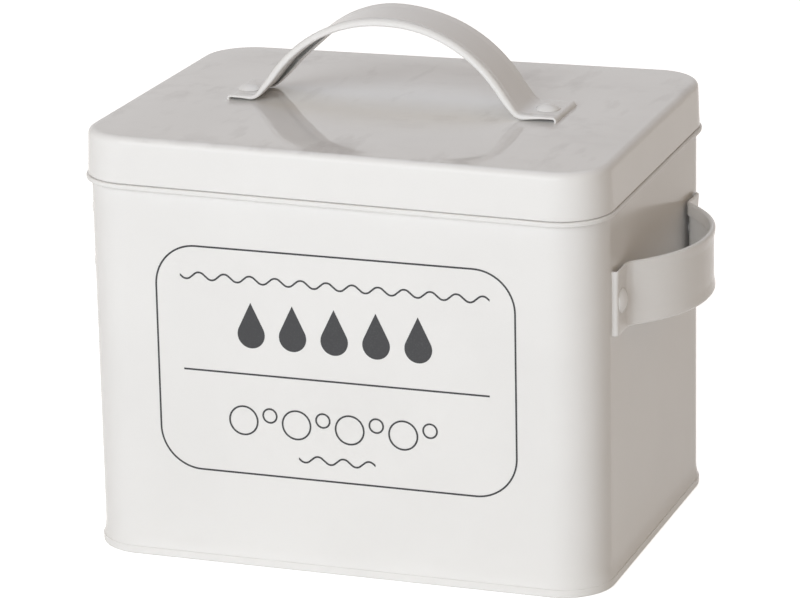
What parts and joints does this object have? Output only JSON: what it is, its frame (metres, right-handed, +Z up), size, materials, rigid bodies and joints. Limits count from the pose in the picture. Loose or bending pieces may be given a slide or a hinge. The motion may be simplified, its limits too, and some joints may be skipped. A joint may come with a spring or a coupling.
{
  "type": "detergent storage box",
  "caption": "Rounded rectangular sheet-steel storage tin with a lift-off lid, an arched strap handle on the lid and a strap handle at each end.",
  "frame": {"origin": "centre of the foot, on the plane the tin stands on", "axes": "+X along the long side, +Y to the back so that the printed front faces -Y, +Z up"},
  "size_m": [0.2916, 0.183, 0.2365],
  "materials": {
    "tin_coat": "smooth off-white powder coat, semi-gloss",
    "handle_coat": "smooth off-white powder coat, semi-gloss",
    "rivet_coat": "smooth off-white paint over domed rivet heads",
    "print_ink": "thin dark grey printed ink"
  },
  "bodies": {
    "box": {"body_wall": "tin_coat", "bottom_panel": "tin_coat", "side_handle_left": "handle_coat", "side_handle_right": "handle_coat", "side_rivet_left_front": "rivet_coat", "side_rivet_left_rear": "rivet_coat", "side_rivet_right_front": "rivet_coat", "side_rivet_right_rear": "rivet_coat", "front_print": "print_ink"},
    "lid": {"lid": "tin_coat", "lid_handle": "handle_coat", "lid_rivet_left": "rivet_coat", "lid_rivet_right": "rivet_coat"}
  },
  "joints": [
    {"name": "lid_lift", "type": "slide", "parent": "box", "child": "lid", "axis": [0, 0, 1], "range_m": [0, 0.04]}
  ]
}
